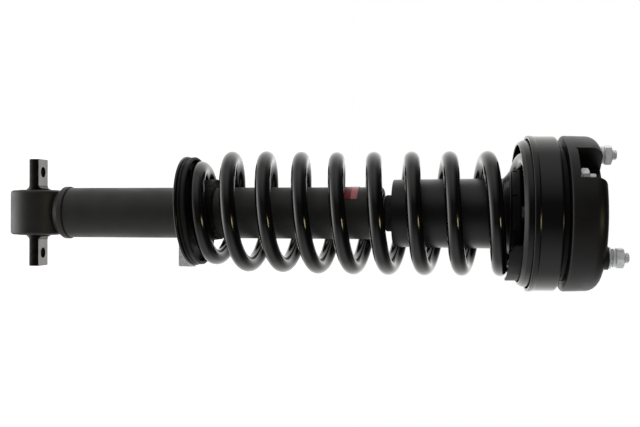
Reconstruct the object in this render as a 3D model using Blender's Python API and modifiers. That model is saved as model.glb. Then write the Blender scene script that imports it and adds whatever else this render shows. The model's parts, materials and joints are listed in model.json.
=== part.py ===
"""A coil-over strut assembly: bar-pin damper, coil spring and upper mount with three studs.

Metres. +Z runs along the strut axis towards the studs and the bar pin lies along X. The origin is where
the strut axis meets the mount's flat upper face. The mount leans 5 degrees on the rod, so its pieces are
parented to an empty at the middle of its bush, and their heights are local to that empty.
"""

import math

import bmesh
import bpy
from mathutils import Vector

GAP = 0.0003  # between pieces that touch
ROUND_SIDES = 32  # around a large turned piece
MIDDLE_SIDES = 20
SMALL_SIDES = 12
CHAMFER_BELOW = 0.0025  # corner radii under this are flat chamfers

# Heights on the strut axis
PIN_Z = -0.5615
TUBE_BOTTOM_Z = -0.525
SEAT_Z = -0.3969
TUBE_TOP_Z = -0.2015
BUSH_Z = -0.036
ROD_SHOULDER_Z = -0.0845

# Damper
TUBE_R = 0.0255
TUBE_WALL = 0.002
UNDER_ROLL_Z = TUBE_TOP_Z - 0.0035  # underside of the tube's rolled end
SEAL_HEIGHT = 0.003
GUIDE_TOP_Z = UNDER_ROLL_Z - SEAL_HEIGHT - 2 * GAP
GUIDE_LOW_Z = GUIDE_TOP_Z - 0.017
PISTON_TOP_Z = -0.2930
PISTON_HEIGHT = 0.016
PISTON_R = 0.015
LABEL_LOW_Z = -0.2463
LABEL_TOP_Z = -0.2253
PRESSURE_R = 0.0175
PRESSURE_WALL = 0.0015
ROD_R = 0.007
ROD_THREAD_R = 0.006
SLEEVE_R = 0.011  # the steel sleeve in the mount's bush
EYE_R = 0.0278
EYE_WALL = 0.0055
EYE_LENGTH = 0.0455
EYE_CORNER_R = 0.003

# Bar pin
PIN_CORE_R = 0.012
PIN_HALF_LENGTH = 0.055
PIN_FLAT_HALF_THICKNESS = 0.005
PIN_FLAT_START = 0.0245
PIN_FLAT_ROOT = 0.004  # fillet where a flat meets the round bar
PIN_HOLE_X = 0.0417
PIN_HOLE_R = 0.0054

# Lower seat and isolator
SEAT_R = 0.0555
SEAT_SHIFT_X = -0.0015  # the seat and the first turns stand a little to one side of the tube
SEAT_TILT = math.radians(4)  # its +X side is the higher one
SEAT_FLAT_X = 0.053  # the side that is trimmed straight
SEAT_PLATE = 0.003
SEAT_COLLAR_R = 0.0285
SEAT_COLLAR_DROP = 0.0025
TAB_X = (0.0312, 0.0548)
TAB_Y = (0.0065, 0.0095)
TAB_LOW_Z = -0.4125
ISOLATOR_R = 0.0542
ISOLATOR_WALL_HEIGHT = 0.008
ISOLATOR_GROOVE = 0.0007  # thickness under the end coil
ISOLATOR_SLEEVE_R = 0.0310
ISOLATOR_SLEEVE_HEIGHT = 0.0275

# Spring
WIRE_R = 0.00765
COIL_R = 0.0526
PIGTAIL_R = 0.0428
COIL_START_Z = -0.3536  # wire centre where the full-width turns begin, on the -X side
FIRST_PITCH = 0.0349
LAST_PITCH = 0.0365
FIRST_TURN = -1.35
LAST_TURN = 8.6
WIDENS = (-0.8, 0.0)  # turns over which the radius grows from the end coil's to the full one
OPENS = (-1.85, -0.1)  # turns over which the pitch grows from nothing
CLOSES = (7.9, 8.35)  # turns over which it shrinks to nothing again
START_LEAN_X = math.tan(SEAT_TILT)  # the end coil lies as its seat does, and lets go of it over STANDS_UP
STANDS_UP = (-1.0, -0.5)
CENTRES = (1.0, 3.0)  # turns over which the coil comes back to the tube's axis
LEAN_X = -0.051  # rise for each metre of x at the upper end, reached over the turns LEANS_X
LEANS_X = (2.5, 6.0)
LEAN_Y = -0.085
LEANS_Y = (6.5, 8.0)
POINTS_PER_TURN = 20

# Dust cover, bump stop
COVER_BOTTOM_Z = -0.1917
COVER_BOTTOM_R = 0.0328
COVER_TOP_R = 0.0337
COVER_WALL = 0.0016
FLARE_LOW_Z = -0.087
FLARE_TOP_Z = -0.0796
FLARE_R = 0.0405
COLLAR_R = 0.043
COLLAR_HEIGHT = 0.009
NOTCHES = 8
BUMP_R = 0.01775
BUMP_HEIGHT = 0.057

# Upper mount, heights above its bush centre along its own leaning axis
MOUNT_LEAN = math.radians(5)
FACE_H = -BUSH_Z * math.cos(MOUNT_LEAN)
HOUSING_BOTTOM_H = 0.0025
HOUSING_R = 0.0738
HOUSING_TOP_R = 0.0728
HOUSING_CORNER_R = 0.012
BUSH_R = 0.0362
ACCESS_R = 0.0243
PAN_WALL = 0.002  # of the two pans under the housing: the cup, and the ring inside it
CUP_R = 0.0733
CUP_TOP_H = -0.0033
CUP_LIP_H = -0.030
RING_R = 0.0696
RING_TOP_H = -0.0061
RING_MOUTH_H = -0.0385
SEAT_FACE_H = -0.0194
PLATE_HOLE_R = 0.030
RUBBER_RING_R = 0.064
SKIRT_R = (0.0610, 0.0638)  # the isolator's skirt, between these radii and angles
SKIRT_ANGLES = (math.radians(-62), math.radians(5))
SKIRT_LOW_H = -0.050

# Studs: (x, y) on the mount, and the height of the surface that each stands on
POCKET_DEPTH = 0.0245
POCKET_ANGLE = math.radians(180 + 49.5)
POCKET_HALF_WIDTH = 0.018
POCKET_INNER_R = 0.041
STUD_R = 0.005
STUD_ROOT = 0.008
STUD_TIP = 0.0189
POCKET_STUD_TIP = 0.016
BOSS_R = 0.0108
BOSS_HEIGHT = 0.0022
STUD_PLACES = (
    (-0.0563, 0.0125, FACE_H + BOSS_HEIGHT),
    (0.0400, -0.0425, FACE_H + BOSS_HEIGHT),
    (-0.0315, -0.0454, FACE_H - POCKET_DEPTH),
)
NUT_ACROSS_FLATS = 0.017
NUT_HEIGHT = 0.007
WASHER_R = 0.010
WASHER_TOP = 0.0022
LOCK_WASHER_R = 0.0085
LOCK_WASHER_LOW = 0.0040
LOCK_WASHER_TOP = 0.0068

# name: (colour, roughness, metallic)
LOOKS = {
    "tube_paint": ((0.022, 0.022, 0.022), 0.5, 0.0),
    "spring_coat": ((0.012, 0.012, 0.012), 0.18, 0.0),
    "cup_paint": ((0.014, 0.014, 0.014), 0.25, 0.0),
    "housing_coat": ((0.025, 0.025, 0.026), 0.45, 0.0),
    "rubber": ((0.015, 0.015, 0.015), 0.7, 0.0),
    "cover_plastic": ((0.016, 0.016, 0.017), 0.4, 0.0),
    "pin_steel": ((0.12, 0.12, 0.12), 0.45, 0.6),
    "zinc": ((0.62, 0.64, 0.65), 0.35, 1.0),
    "bright_steel": ((0.5, 0.5, 0.5), 0.25, 1.0),
    "sintered_steel": ((0.3, 0.3, 0.3), 0.5, 1.0),
    "bump_foam": ((0.02, 0.02, 0.02), 0.8, 0.0),
    "label_film": ((0.45, 0.02, 0.02), 0.4, 0.0),
}


# Scene and placing


def clear_scene():
    for obj in list(bpy.data.objects):
        bpy.data.objects.remove(obj, do_unlink=True)


def new_collection(name):
    collection = bpy.data.collections.new(name)
    bpy.context.scene.collection.children.link(collection)
    return collection


def new_material(name, colour, roughness, metallic):
    material = bpy.data.materials.new(name)
    material.use_nodes = True
    shader = material.node_tree.nodes["Principled BSDF"]
    shader.inputs["Base Color"].default_value = (*colour, 1)
    shader.inputs["Roughness"].default_value = roughness
    shader.inputs["Metallic"].default_value = metallic
    return material


def empty_at(name, place, parent=None):
    empty = bpy.data.objects.new(name, None)
    empty.location = place
    empty.parent = parent
    PARTS.objects.link(empty)
    return empty


def place(mesh, name, look, at=(0, 0, 0), turn=(0, 0, 0), parent=None):
    obj = bpy.data.objects.new(name, mesh)
    if look:
        mesh.materials.append(MATERIALS[look])
        PARTS.objects.link(obj)
    else:
        CUTTERS.objects.link(obj)
        obj.hide_render = True
        obj.display_type = "WIRE"
    obj.location = at
    obj.rotation_euler = turn
    obj.parent = parent
    return obj


# Shapes


def ring(inner, outer, low, high, corner=0):
    """Corners of a square-cut ring, its outer side first and downwards."""
    return [(outer, high, corner), (outer, low, corner), (inner, low, 0), (inner, high, 0)]


def disc(radius, low, high, corner=0):
    return [(0, high, 0), (radius, high, corner), (radius, low, corner), (0, low, 0)]


def rounded(corners):
    """The outline as (r, z) points, with each corner (r, z, radius) turned into an arc or a chamfer."""
    points = []
    for i, (r, z, radius) in enumerate(corners):
        here = Vector((r, z, 0))
        if not radius:
            points.append(here)
            continue
        back = (Vector((*corners[i - 1][:2], 0)) - here).normalized()
        ahead = (Vector((*corners[(i + 1) % len(corners)][:2], 0)) - here).normalized()
        half = back.angle(ahead) / 2
        centre = here + (back + ahead).normalized() * radius / math.sin(half)
        start = here + back * radius / math.tan(half) - centre
        end = here + ahead * radius / math.tan(half) - centre
        steps = 1 if radius < CHAMFER_BELOW else 3
        for step in range(steps + 1):
            points.append(centre + start.slerp(end, step / steps) * radius)
    return [(point.x, point.y) for point in points]


def turned(name, look, corners, sides=ROUND_SIDES, **placing):
    """A solid of revolution about Z. Corners run down its outer side and, on a ring, back up its bore."""
    outline = rounded([(*corner, 0)[:3] for corner in corners])
    count = len(outline)
    touches_axis = outline[0][0] == 0
    edges = [(i, (i + 1) % count) for i in range(count - touches_axis)]
    mesh = bpy.data.meshes.new(name)
    mesh.from_pydata([(r, 0, z) for r, z in outline], edges, [])
    obj = place(mesh, name, look, **placing)
    screw = obj.modifiers.new("turn", "SCREW")
    screw.steps = screw.render_steps = sides
    screw.use_smooth_shade = True
    screw.use_merge_vertices = True
    screw.merge_threshold = 1e-5
    return obj


def prism(name, look, sides, radius, low, high, **placing):
    """An upright prism with regular sides, such as a hexagon or, with many sides, a cylinder."""
    mesh = bpy.data.meshes.new(name)
    shape = bmesh.new()
    bmesh.ops.create_cone(
        shape, cap_ends=True, segments=sides, radius1=radius, radius2=radius, depth=high - low
    )
    bmesh.ops.translate(shape, verts=shape.verts, vec=(0, 0, (low + high) / 2))
    shape.to_mesh(mesh)
    shape.free()
    return place(mesh, name, look, **placing)


def block(name, look, low, high, **placing):
    """A box between two corners."""
    mesh = bpy.data.meshes.new(name)
    shape = bmesh.new()
    bmesh.ops.create_cube(shape, size=1)
    size = Vector(high) - Vector(low)
    bmesh.ops.scale(shape, verts=shape.verts, vec=size)
    bmesh.ops.translate(shape, verts=shape.verts, vec=(Vector(high) + Vector(low)) / 2)
    shape.to_mesh(mesh)
    shape.free()
    return place(mesh, name, look, **placing)


def sector(name, inner, outer, low, high, start, end, **placing):
    """Part of a ring between two angles, for joining on to another piece."""
    steps = round(abs(end - start) * ROUND_SIDES / (2 * math.pi))
    verts, faces = [], [(0, 1, 2, 3)]
    for step in range(steps + 1):
        angle = start + (end - start) * step / steps
        for radius, height in ((inner, low), (outer, low), (outer, high), (inner, high)):
            verts.append((radius * math.cos(angle), radius * math.sin(angle), height))
    for first in range(0, 4 * steps, 4):
        for side in range(4):
            after = (side + 1) % 4
            faces.append((first + side, first + side + 4, first + after + 4, first + after))
    faces.append(tuple(range(4 * steps + 3, 4 * steps - 1, -1)))
    mesh = bpy.data.meshes.new(name)
    mesh.from_pydata(verts, [], faces)
    return place(mesh, name, None, **placing)


def boolean(obj, other, operation="DIFFERENCE"):
    modifier = obj.modifiers.new(other.name, "BOOLEAN")
    modifier.operation = operation
    modifier.object = other


def bored_nut(name, look, across_flats, bore, low, high, **placing):
    corner_r = across_flats / 2 / math.cos(math.pi / 6)
    nut = prism(name, look, 6, corner_r, low, high, **placing)
    cutter = prism(
        name + "_bore", None, SMALL_SIDES, bore + GAP, low - 0.002, high + 0.002, **placing
    )
    boolean(nut, cutter)
    return nut


def smooth_step(value, start, end):
    share = min(max((value - start) / (end - start), 0), 1)
    return share * share * (3 - 2 * share)


# Lower end


def bar_pin():
    """A round bar, flattened above and below at both ends for the bolts."""
    pin = turned(
        "bar_pin",
        "pin_steel",
        disc(PIN_CORE_R, -PIN_HALF_LENGTH, PIN_HALF_LENGTH, 0.001),
        sides=MIDDLE_SIDES,
        at=(0, 0, PIN_Z),
        turn=(0, math.pi / 2, 0),
    )
    past_end = PIN_HALF_LENGTH + 0.01
    for side in (-1, 1):
        for face in (-1, 1):
            ends = sorted((side * PIN_FLAT_START, side * past_end))
            heights = sorted((face * PIN_FLAT_HALF_THICKNESS, face * 0.02))
            cutter = block(
                f"pin_flat_cutter_{side}_{face}",
                None,
                (ends[0], -0.02, heights[0]),
                (ends[1], 0.02, heights[1]),
                at=(0, 0, PIN_Z),
            )
            bevel = cutter.modifiers.new("root", "BEVEL")
            bevel.width = PIN_FLAT_ROOT
            bevel.segments = 2
            boolean(pin, cutter)
        hole = prism(
            f"pin_hole_cutter_{side}",
            None,
            SMALL_SIDES,
            PIN_HOLE_R,
            -0.02,
            0.02,
            at=(side * PIN_HOLE_X, 0, PIN_Z),
        )
        boolean(pin, hole)


def eye():
    half = EYE_LENGTH / 2
    inner = EYE_R - EYE_WALL
    lying = {"at": (0, 0, PIN_Z), "turn": (0, math.pi / 2, 0)}
    turned("eye_ring", "tube_paint", ring(inner, EYE_R, -half, half, EYE_CORNER_R), **lying)
    outside = inner - GAP
    lip = half + 0.0005
    turned(
        "eye_rubber",
        "rubber",
        [
            (outside - 0.002, lip, 0.0008),
            (outside, half - 0.002),
            (outside, -half + 0.002),
            (outside - 0.002, -lip, 0.0008),
            (PIN_CORE_R + GAP, -lip),
            (PIN_CORE_R + GAP, lip),
        ],
        sides=MIDDLE_SIDES,
        **lying,
    )


def base_cap():
    """The domed end of the tube. It saddles the eye and has a spigot inside the tube."""
    spigot_r = TUBE_R - TUBE_WALL - GAP
    spigot_top = TUBE_BOTTOM_Z + 0.0035
    lip_r = TUBE_R + 0.0013
    lip_low = TUBE_BOTTOM_Z - 0.006
    dome_low = TUBE_BOTTOM_Z - 0.012
    cap = turned(
        "base_cap",
        "tube_paint",
        [
            (0, spigot_top),
            (spigot_r, spigot_top),
            (spigot_r, TUBE_BOTTOM_Z - GAP),
            (lip_r, TUBE_BOTTOM_Z - GAP, 0.0008),
            (lip_r, lip_low, 0.0015),
            (lip_r - 0.0016, lip_low - 0.0008),
            (0.0225, dome_low, 0.006),
            (0, dome_low),
        ],
    )
    saddle = prism(
        "saddle_cutter",
        None,
        ROUND_SIDES,
        EYE_R + GAP,
        -0.04,
        0.04,
        at=(0, 0, PIN_Z),
        turn=(0, math.pi / 2, 0),
    )
    boolean(cap, saddle)


# Damper


def damper_tubes():
    inner = TUBE_R - TUBE_WALL
    mouth_r = 0.018
    turned(
        "reserve_tube",
        "tube_paint",
        [
            (mouth_r, TUBE_TOP_Z),
            (TUBE_R, TUBE_TOP_Z, 0.003),
            (TUBE_R, TUBE_BOTTOM_Z),
            (inner, TUBE_BOTTOM_Z),
            (inner, UNDER_ROLL_Z),
            (mouth_r, UNDER_ROLL_Z),
        ],
    )
    base = TUBE_BOTTOM_Z + 0.0038
    turned(
        "pressure_tube",
        "bright_steel",
        ring(PRESSURE_R - PRESSURE_WALL, PRESSURE_R, base + 0.0056 + GAP, GUIDE_TOP_Z - 0.0108 - GAP),
        sides=MIDDLE_SIDES,
    )
    turned(
        "base_valve",
        "sintered_steel",
        [
            (0, base + 0.011),
            (PRESSURE_R - PRESSURE_WALL - GAP, base + 0.011),
            (PRESSURE_R - PRESSURE_WALL - GAP, base + 0.0056),
            (0.0215, base + 0.0056),
            (0.0215, base),
            (0, base),
        ],
        sides=MIDDLE_SIDES,
    )


def tube_label():
    """A plain rectangle of film, wrapped part of the way round the tube."""
    inner = TUBE_R + GAP
    label = turned("tube_label", "label_film", ring(inner, inner + 0.0004, LABEL_LOW_Z, LABEL_TOP_Z))
    low, high = LABEL_LOW_Z - 0.01, LABEL_TOP_Z + 0.01
    patch = block("label_cutter", None, (-0.03, -0.03, low), (-0.014, 0.004, high))
    boolean(label, patch, "INTERSECT")


def rod_seals():
    """The guide and the seal under the tube's rolled end, and the plate that the bump stop meets."""
    inner = TUBE_R - TUBE_WALL - GAP
    bore = ROD_R + GAP
    turned(
        "oil_seal",
        "rubber",
        ring(bore, inner, UNDER_ROLL_Z - GAP - SEAL_HEIGHT, UNDER_ROLL_Z - GAP),
        sides=MIDDLE_SIDES,
    )
    spigot_r = PRESSURE_R - PRESSURE_WALL - GAP
    turned(
        "rod_guide",
        "sintered_steel",
        [
            (inner, GUIDE_TOP_Z),
            (inner, GUIDE_TOP_Z - 0.0108),
            (spigot_r, GUIDE_TOP_Z - 0.0108),
            (spigot_r, GUIDE_LOW_Z),
            (bore, GUIDE_LOW_Z),
            (bore, GUIDE_TOP_Z),
        ],
        sides=MIDDLE_SIDES,
    )
    turned(
        "striker_plate",
        "tube_paint",
        ring(bore + GAP, 0.0168, TUBE_TOP_Z + GAP, TUBE_TOP_Z + 0.0018),
        sides=MIDDLE_SIDES,
    )


def rod_and_piston():
    """The rod is one bar: piston spigot, main bar and the thread above its shoulder."""
    piston_low = PISTON_TOP_Z - PISTON_HEIGHT
    nut_low = piston_low - 0.0165
    spigot_r = 0.005
    turned(
        "piston_rod",
        "bright_steel",
        [
            (0, -0.0065),
            (ROD_THREAD_R, -0.0065, 0.001),
            (ROD_THREAD_R, ROD_SHOULDER_Z),
            (ROD_R, ROD_SHOULDER_Z),
            (ROD_R, PISTON_TOP_Z + 0.0035),
            (spigot_r, PISTON_TOP_Z + 0.0035),
            (spigot_r, nut_low - 0.002),
            (0, nut_low - 0.002),
        ],
        sides=SMALL_SIDES,
    )
    bore = spigot_r + GAP
    groove_r = PISTON_R - 0.0008
    turned(
        "piston",
        "sintered_steel",
        [
            (PISTON_R, PISTON_TOP_Z),
            (PISTON_R, PISTON_TOP_Z - 0.004),
            (groove_r, PISTON_TOP_Z - 0.004),
            (groove_r, piston_low + 0.004),
            (PISTON_R, piston_low + 0.004),
            (PISTON_R, piston_low),
            (bore, piston_low),
            (bore, PISTON_TOP_Z),
        ],
        sides=MIDDLE_SIDES,
    )
    turned(
        "piston_band",
        "rubber",
        ring(
            groove_r + GAP,
            PRESSURE_R - PRESSURE_WALL - GAP - 0.00005,
            piston_low + 0.004 + GAP,
            PISTON_TOP_Z - 0.004 - GAP,
        ),
        sides=MIDDLE_SIDES,
    )
    turned(
        "compression_valve",
        "bright_steel",
        ring(bore, 0.0125, PISTON_TOP_Z + GAP, PISTON_TOP_Z + 0.003),
        sides=SMALL_SIDES,
    )
    turned(
        "rebound_valve",
        "bright_steel",
        ring(bore, 0.0125, piston_low - 0.003, piston_low - GAP),
        sides=SMALL_SIDES,
    )
    bored_nut("piston_nut", "zinc", 0.016, spigot_r, nut_low, piston_low - 0.0035)
    turned(
        "rebound_spacer",
        "bright_steel",
        ring(ROD_R + GAP, 0.0105, PISTON_TOP_Z + 0.0042, GUIDE_LOW_Z - GAP),
        sides=SMALL_SIDES,
    )


def rod_end():
    """The stack that clamps the rod into the bush: bump cup, sleeve, washer and nut."""
    bore = ROD_THREAD_R + GAP
    cup_low = ROD_SHOULDER_Z + GAP
    cup_r = 0.0312
    turned(
        "bump_cup",
        "tube_paint",
        [
            (cup_r, cup_low + 0.003, 0.002),
            (cup_r, cup_low - 0.0135),
            (cup_r - 0.002, cup_low - 0.0135),
            (cup_r - 0.002, cup_low),
            (bore, cup_low),
            (bore, cup_low + 0.003),
        ],
        sides=MIDDLE_SIDES,
    )
    sleeve_low = cup_low + 0.003 + GAP
    sleeve_top = -0.0196
    flange_r = 0.020
    turned(
        "inner_sleeve",
        "bright_steel",
        [
            (SLEEVE_R, sleeve_top),
            (SLEEVE_R, sleeve_low + 0.003),
            (flange_r, sleeve_low + 0.003),
            (flange_r, sleeve_low),
            (bore, sleeve_low),
            (bore, sleeve_top),
        ],
        sides=MIDDLE_SIDES,
    )
    washer_top = sleeve_top + GAP + 0.0028
    turned("rod_washer", "zinc", ring(bore, 0.019, sleeve_top + GAP, washer_top), sides=MIDDLE_SIDES)
    nut_low = washer_top + GAP
    bored_nut("rod_nut", "zinc", 0.019, ROD_THREAD_R, nut_low, nut_low + 0.0094)


def dust_cover():
    """A long thin tube over the bump stop. It flares under the notched collar that holds it."""
    wall = COVER_WALL
    turned(
        "dust_cover",
        "cover_plastic",
        [
            (FLARE_R, FLARE_TOP_Z),
            (FLARE_R - 0.0013, FLARE_TOP_Z - 0.0022, 0.001),
            (COVER_TOP_R, FLARE_LOW_Z),
            (COVER_BOTTOM_R, COVER_BOTTOM_Z),
            (COVER_BOTTOM_R - wall, COVER_BOTTOM_Z),
            (COVER_TOP_R - wall, FLARE_LOW_Z + 0.0008),
            (FLARE_R - 0.004, FLARE_TOP_Z),
        ],
    )
    collar_low = FLARE_TOP_Z + GAP
    collar_top = collar_low + COLLAR_HEIGHT
    bore = 0.0205
    dish_r = 0.036
    dish_floor = collar_top - 0.004
    collar = turned(
        "cover_collar",
        "rubber",
        [
            (COLLAR_R - 0.0005, collar_top, 0.0015),
            (COLLAR_R, collar_low, 0.0015),
            (bore, collar_low),
            (bore, dish_floor),
            (dish_r, dish_floor),
            (dish_r, collar_top),
        ],
    )
    for count in range(NOTCHES):
        angle = 2 * math.pi * (count + 0.5) / NOTCHES
        notch = block(
            f"collar_notch_{count}",
            None,
            (0.0415, -0.001, collar_low - 0.001),
            (0.05, 0.001, collar_low + 0.005),
            turn=(0, 0, angle),
        )
        boolean(collar, notch)


def bump_stop():
    """A foam stop resting on the striker plate, waisted by two grooves."""
    low = TUBE_TOP_Z + 0.0021
    high = low + BUMP_HEIGHT
    bore = ROD_R + 2 * GAP
    corners = [(BUMP_R - 0.003, high, 0.002), (BUMP_R, high - 0.012, 0.003)]
    for middle in (0.68, 0.38):
        centre = low + middle * BUMP_HEIGHT
        corners += [
            (BUMP_R, centre + 0.003),
            (BUMP_R - 0.004, centre),
            (BUMP_R, centre - 0.003),
        ]
    corners += [(BUMP_R, low, 0.001), (bore, low), (bore, high)]
    turned("bump_stop", "bump_foam", corners, sides=MIDDLE_SIDES)


# Lower spring seat


def lower_seat():
    """A tilted plate with a collar round the tube, the isolator on it, the ring and the tab under it."""
    low = SEAT_Z - SEAT_PLATE / 2
    tilted = {"at": (SEAT_SHIFT_X, 0, SEAT_Z), "turn": (0, -SEAT_TILT, 0)}
    through_tube = TUBE_R - 0.003  # bore of a piece before the upright tube is cut out of it
    plate = turned(
        "lower_seat",
        "cup_paint",
        [
            (SEAT_R, SEAT_PLATE / 2, 0.001),
            (SEAT_R, -SEAT_PLATE / 2, 0.001),
            (SEAT_COLLAR_R, -SEAT_PLATE / 2),
            (SEAT_COLLAR_R, -SEAT_PLATE / 2 - SEAT_COLLAR_DROP),
            (through_tube, -SEAT_PLATE / 2 - SEAT_COLLAR_DROP),
            (through_tube, SEAT_PLATE / 2),
        ],
        **tilted,
    )
    base = SEAT_PLATE / 2 + GAP
    groove = base + ISOLATOR_GROOVE
    wall_top = base + ISOLATOR_WALL_HEIGHT
    isolator = turned(
        "lower_isolator",
        "rubber",
        [
            (ISOLATOR_SLEEVE_R - 0.001, base + ISOLATOR_SLEEVE_HEIGHT, 0.001),
            (ISOLATOR_SLEEVE_R, groove + 0.010),
            (ISOLATOR_SLEEVE_R + 0.0045, groove),
            (ISOLATOR_R - 0.0038, groove),
            (ISOLATOR_R - 0.0028, wall_top, 0.0008),
            (ISOLATOR_R, wall_top, 0.0012),
            (ISOLATOR_R, base, 0.001),
            (through_tube, base),
            (through_tube, base + ISOLATOR_SLEEVE_HEIGHT),
        ],
        **tilted,
    )
    tube = prism("tube_cutter", None, ROUND_SIDES, TUBE_R + GAP, low - 0.02, low + 0.05)
    trim = block("seat_trim_cutter", None, (SEAT_FLAT_X, -0.05, low - 0.01), (0.07, 0.05, low + 0.03))
    for piece in (plate, isolator):
        boolean(piece, tube)
        boolean(piece, trim)
    turned(
        "seat_support",
        "tube_paint",
        [
            (0.0305, low - 0.0052),
            (0.0305, low - 0.0066),
            (TUBE_R + GAP, low - 0.0086),
            (TUBE_R + GAP, low - 0.0052),
        ],
    )
    seat_tab()


def seat_tab():
    """An upright plate in the XZ plane, its upper edge along the underside of the tilted seat."""
    under = SEAT_Z - SEAT_PLATE / 2 / math.cos(SEAT_TILT) - 2 * GAP
    outline = [(x, TAB_LOW_Z) for x in TAB_X]
    outline += [(x, under + x * math.tan(SEAT_TILT)) for x in reversed(TAB_X)]
    verts = [(x, y, z) for y in TAB_Y for x, z in outline]
    sides = [(i, i + 4, (i + 1) % 4 + 4, (i + 1) % 4) for i in range(4)]
    mesh = bpy.data.meshes.new("seat_tab")
    mesh.from_pydata(verts, [], [(0, 1, 2, 3), (7, 6, 5, 4), *sides])
    place(mesh, "seat_tab", "zinc")


# Spring


def spring_path():
    """Wire centres up a right-hand coil: a narrow end turn, tilted with its seat, and a leaning upper end."""
    steps = round((LAST_TURN - FIRST_TURN) * POINTS_PER_TURN)
    turns = [FIRST_TURN + (LAST_TURN - FIRST_TURN) * step / steps for step in range(steps + 1)]
    heights = [0.0]
    for before, after in zip(turns, turns[1:]):
        middle = (before + after) / 2
        pitch = FIRST_PITCH + (LAST_PITCH - FIRST_PITCH) * middle / LAST_TURN
        opening = smooth_step(middle, *OPENS)
        closing = 1 - smooth_step(middle, *CLOSES)
        heights.append(heights[-1] + pitch * opening * closing * (after - before))
    zero = min(range(len(turns)), key=lambda i: abs(turns[i]))
    points = []
    for turn, height in zip(turns, heights):
        angle = math.pi + 2 * math.pi * turn
        radius = PIGTAIL_R + (COIL_R - PIGTAIL_R) * smooth_step(turn, *WIDENS)
        x, y = radius * math.cos(angle), radius * math.sin(angle)
        lean = LEAN_X * x * smooth_step(turn, *LEANS_X) + LEAN_Y * y * smooth_step(turn, *LEANS_Y)
        lean += START_LEAN_X * x * (1 - smooth_step(turn, *STANDS_UP))
        shift = SEAT_SHIFT_X * (1 - smooth_step(turn, *CENTRES))
        points.append((x + shift, y, COIL_START_Z + height - heights[zero] + lean))
    return points


def coil_spring():
    curve = bpy.data.curves.new("coil_spring", "CURVE")
    curve.dimensions = "3D"
    curve.bevel_depth = WIRE_R
    curve.bevel_resolution = 2
    curve.use_fill_caps = True
    points = spring_path()
    spline = curve.splines.new("POLY")
    spline.points.add(len(points) - 1)
    for point, centre in zip(spline.points, points):
        point.co = (*centre, 1)
    place(curve, "coil_spring", "spring_coat")


# Upper mount


def spring_seats(mount):
    """Two nested pans, the isolator inside them and the rubber ring on top."""
    wall = PAN_WALL
    turned(
        "spring_cup",
        "cup_paint",
        [
            (CUP_R, CUP_TOP_H, 0.003),
            (CUP_R, CUP_LIP_H + 0.004),
            (CUP_R + 0.0008, CUP_LIP_H + 0.0015),
            (CUP_R + 0.0004, CUP_LIP_H),
            (CUP_R - wall, CUP_LIP_H),
            (CUP_R - wall, CUP_TOP_H - 0.0025, 0.001),
            (PLATE_HOLE_R, CUP_TOP_H - 0.0025),
            (PLATE_HOLE_R, CUP_TOP_H),
        ],
        parent=mount,
    )
    turned(
        "spring_seat_ring",
        "cup_paint",
        [
            (RING_R, RING_TOP_H, 0.003),
            (RING_R, RING_MOUTH_H + 0.004, 0.004),
            (RING_R - 0.0030, RING_MOUTH_H),
            (RING_R - 0.0048, RING_MOUTH_H),
            (RING_R - wall, RING_MOUTH_H + 0.005, 0.004),
            (RING_R - wall, RING_TOP_H - 0.0022, 0.001),
            (PLATE_HOLE_R, RING_TOP_H - 0.0022),
            (PLATE_HOLE_R, RING_TOP_H),
        ],
        parent=mount,
    )
    turned(
        "mount_rubber_ring",
        "rubber",
        ring(PLATE_HOLE_R, RUBBER_RING_R, CUP_TOP_H + GAP, HOUSING_BOTTOM_H - GAP),
        parent=mount,
    )
    isolator_top = RING_TOP_H - 0.0022 - GAP
    isolator_r = RING_R - wall - GAP
    isolator = turned(
        "upper_isolator",
        "rubber",
        [
            (isolator_r, isolator_top, 0.002),
            (isolator_r, SEAT_FACE_H, 0.002),
            (0.0435, SEAT_FACE_H, 0.002),
            (0.0435, isolator_top),
        ],
        parent=mount,
    )
    skirt_top = SEAT_FACE_H + 0.003
    skirt = sector("isolator_skirt", *SKIRT_R, SKIRT_LOW_H, skirt_top, *SKIRT_ANGLES, parent=mount)
    boolean(isolator, skirt, "UNION")


def bush(mount):
    """The rubber bonded between the housing's bore and the rod's upright sleeve."""
    rubber = turned(
        "mount_bush",
        "rubber",
        [
            (0, 0.0125),
            (0.021, 0.0125),
            (0.027, 0.019, 0.004),
            (BUSH_R, 0.024, 0.002),
            (BUSH_R, 0.008, 0.002),
            (0.027, 0.002, 0.004),
            (0.016, -0.010),
            (0, -0.010),
        ],
        parent=mount,
    )
    boolean(rubber, prism("sleeve_cutter", None, MIDDLE_SIDES, SLEEVE_R + 0.0004, -0.08, 0.0))


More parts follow.
